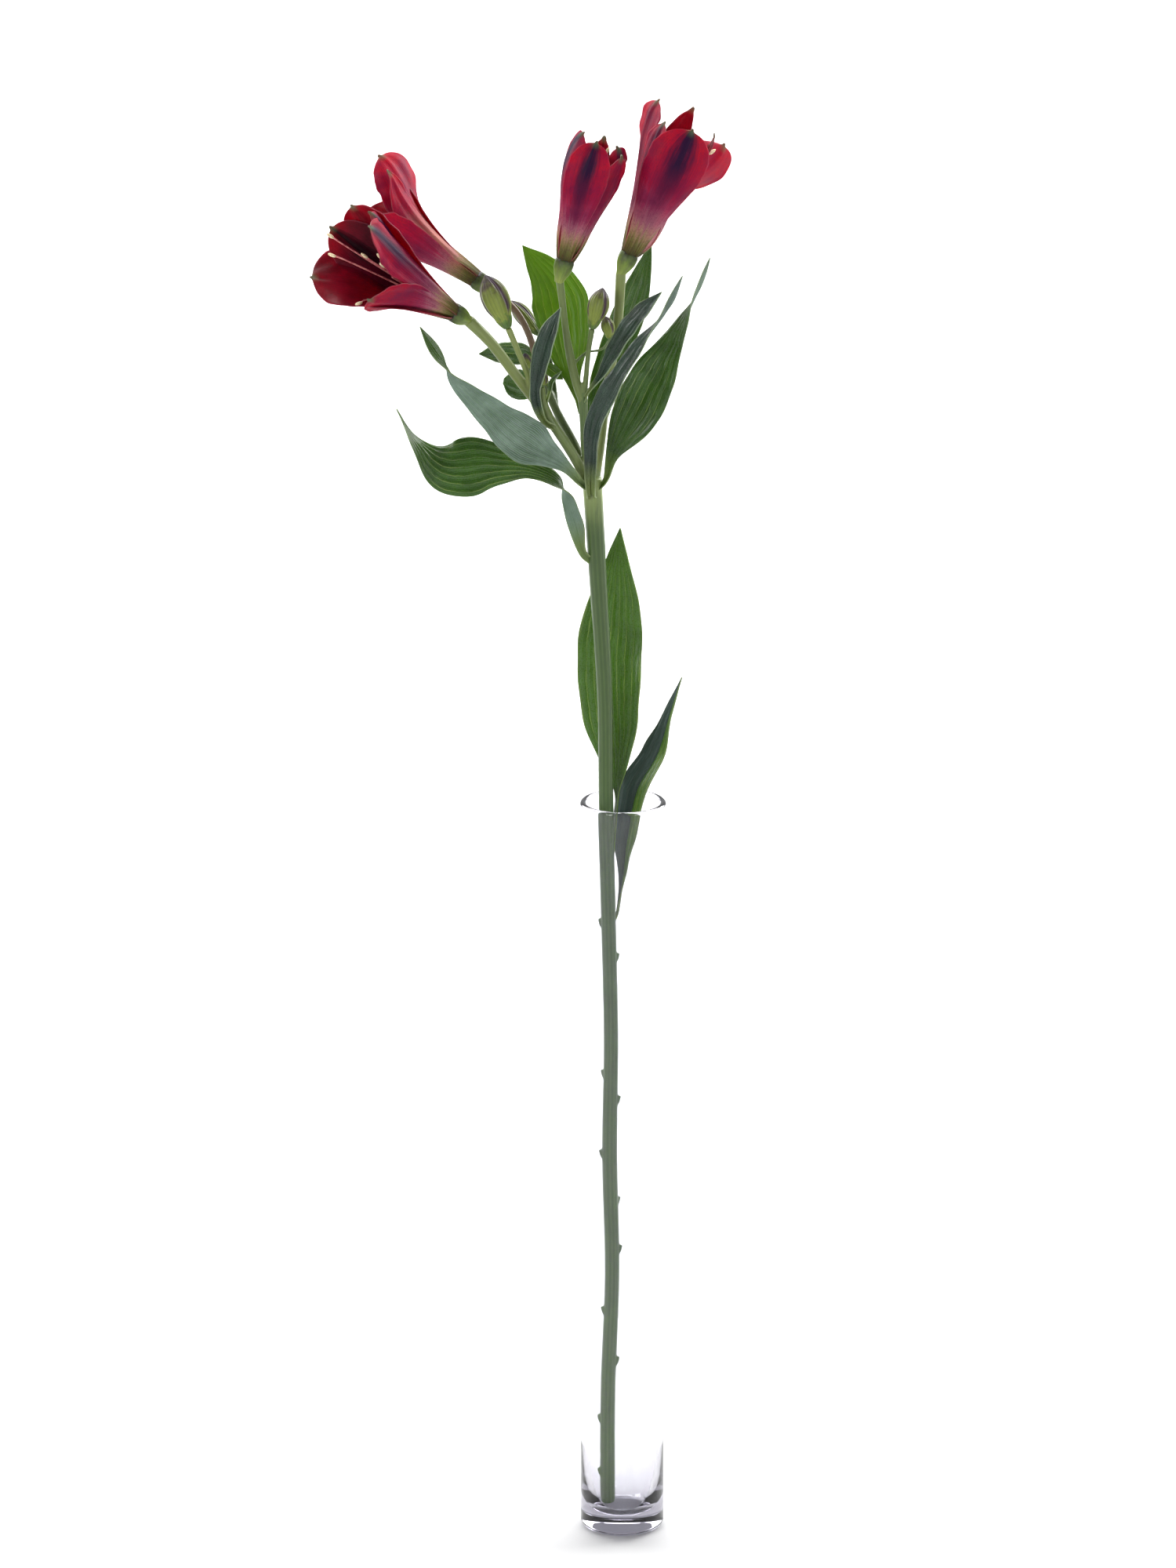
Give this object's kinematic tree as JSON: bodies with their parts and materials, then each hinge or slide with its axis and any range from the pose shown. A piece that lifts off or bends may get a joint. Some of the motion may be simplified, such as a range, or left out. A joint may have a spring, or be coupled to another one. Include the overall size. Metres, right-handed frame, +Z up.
{
  "type": "cut flower stem in a tube vase",
  "caption": "Cut alstroemeria stem with open flowers, buds and twisted leaves, standing in a clear glass tube vase with a thick flat foot.",
  "frame": {"origin": "middle of the vase's flat foot", "axes": "+Z up along the tube, +X to the right of the pictured side, -Y towards the viewer"},
  "size_m": [0.1352, 0.0834, 0.4891],
  "materials": {
    "glass": "clear, fire-polished",
    "stem": "satin, finely ribbed green skin",
    "leaf": "soft satin blade with parallel veins",
    "tepal": "soft matt petal",
    "anther": "matt, dusty",
    "bud": "satin, ribbed"
  },
  "bodies": {
    "root": {"vase": "glass", "stem": "stem", "leaf_low": "leaf", "leaf_low_back": "leaf", "leaf_below_whorl": "leaf", "leaf_whorl_left": "leaf", "leaf_whorl_right": "leaf", "leaf_whorl_front": "leaf", "leaf_whorl_back": "leaf", "bract_right": "leaf", "bract_back": "leaf", "bract_left_back": "leaf", "bract_left_under": "leaf", "bract_left_front": "leaf", "bract_left_inner": "leaf", "bract_bud": "leaf", "ovary_front_left": "stem", "tepals_front_left": "tepal", "stamens_front_left": "anther", "ovary_back_left": "stem", "tepals_back_left": "tepal", "stamens_back_left": "anther", "ovary_centre": "stem", "tepals_centre": "tepal", "stamens_centre": "anther", "ovary_right": "stem", "tepals_right": "tepal", "stamens_right": "anther", "bud_large": "bud", "bud_right": "bud", "bud_small": "bud", "bud_tiny": "bud", "bud_left_back": "bud", "bud_left_mid": "bud"}
  },
  "joints": []
}
